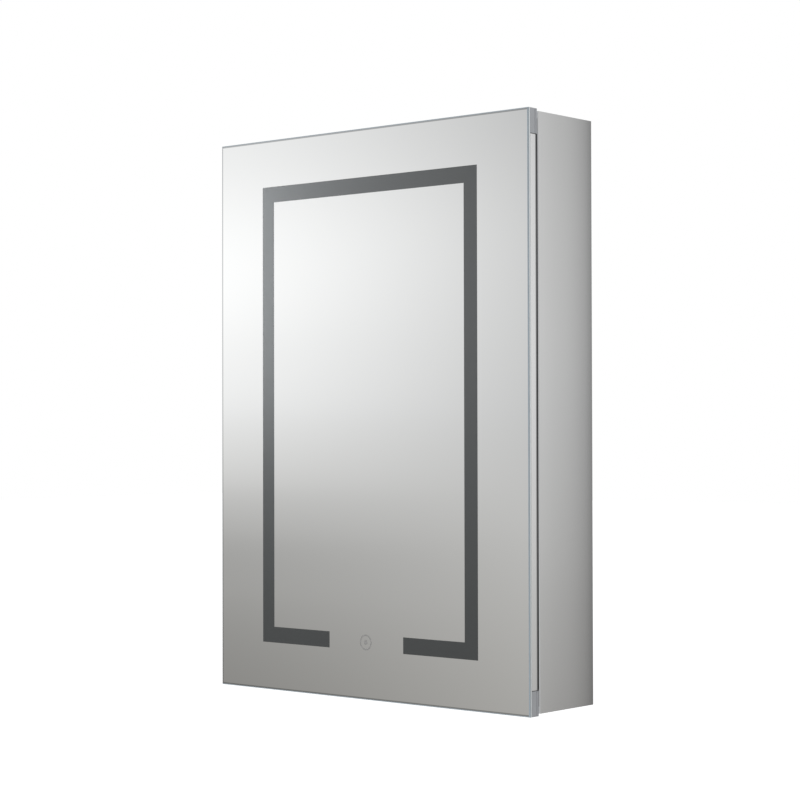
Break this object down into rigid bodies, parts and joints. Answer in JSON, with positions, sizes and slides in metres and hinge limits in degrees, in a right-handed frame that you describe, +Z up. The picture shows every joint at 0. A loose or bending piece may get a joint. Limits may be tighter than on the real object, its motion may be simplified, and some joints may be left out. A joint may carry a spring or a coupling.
{
  "type": "wall-hung mirror cabinet",
  "caption": "Wall-hung bathroom cabinet with glass shelves, behind a hinged mirror door that has a frosted light band, a touch switch and a satin aluminium frame.",
  "frame": {"origin": "centre of the cabinet's back, on the wall plane, midway between the four wall screw holes", "axes": "+X to the right seen from the front, -Y out of the mirror towards the user, +Y into the wall, +Z up"},
  "size_m": [0.5, 0.128, 0.7],
  "materials": {
    "body_aluminium": "satin, fine lengthwise extrusion lines",
    "door_aluminium": "satin anodised",
    "cast_metal": "mill finish",
    "back_sheet": "fine-texture powder coat",
    "cover_paint": "fine-texture powder coat",
    "grey_plastic": "moulded, satin",
    "white_plastic": "moulded, matt",
    "dark_plastic": "moulded, matt",
    "seal_foam": "closed-cell foam",
    "black_rubber": "matt",
    "shelf_glass": "clear, polished edges",
    "bright_metal": "bright zinc",
    "hinge_steel": "brushed",
    "magnet": "sintered ferrite",
    "wire_brown": "insulation",
    "wire_red": "insulation",
    "lead_white": "flexible sheath",
    "mirror": "silvered glass with a polished bevel",
    "frosted_glass": "etched, satin",
    "icon_white": "etched, satin",
    "strip_board": "solder mask",
    "diffuser": "opal",
    "heater_foil": "printed film"
  },
  "bodies": {
    "cabinet": {"side_panel_left": "body_aluminium", "side_panel_right": "body_aluminium", "top_panel": "body_aluminium", "bottom_panel": "body_aluminium", "corner_cleats": "cast_metal", "back_panel": "back_sheet", "wall_spacers": "grey_plastic", "front_seal": "seal_foam", "corner_buffers": "grey_plastic", "shelf_lower": "shelf_glass", "shelf_middle": "shelf_glass", "shelf_upper": "shelf_glass", "shelf_pins": "bright_metal", "hinge_leaf_body": "hinge_steel", "hinge_pin": "hinge_steel", "hinge_rivets_body": "bright_metal", "catch_housings": "white_plastic", "catch_magnets": "magnet", "catch_pole_plates": "hinge_steel", "catch_screws": "bright_metal", "driver_cover": "cover_paint", "cover_screws": "bright_metal", "led_driver": "white_plastic", "driver_screws": "bright_metal", "terminal_block": "white_plastic", "supply_wires": "wire_brown", "cable_grommet": "black_rubber", "cover_grommet": "black_rubber", "door_lead": "lead_white"},
    "door": {"mirror_pane": "mirror", "frosted_band": "frosted_glass", "touch_ring": "icon_white", "bonding_tape": "black_rubber", "door_frame_left": "door_aluminium", "door_frame_right": "door_aluminium", "door_frame_top": "door_aluminium", "door_frame_bottom": "door_aluminium", "door_corner_blocks": "grey_plastic", "inner_mirror": "mirror", "light_channels": "cast_metal", "light_strips": "strip_board", "diffuser_strips": "diffuser", "heated_pad": "heater_foil", "touch_sensor": "dark_plastic", "door_junction": "white_plastic", "door_wiring": "wire_red", "door_grommet": "black_rubber", "hinge_leaf_door": "hinge_steel", "hinge_rivets_door": "bright_metal", "strike_plates": "hinge_steel"}
  },
  "joints": [
    {"name": "door_hinge", "type": "hinge", "parent": "cabinet", "child": "door", "pos_m": [-0.248, -0.1075, 0], "axis": [0, 0, -1], "range_deg": [0, 120], "deforming": ["door_lead"]}
  ]
}
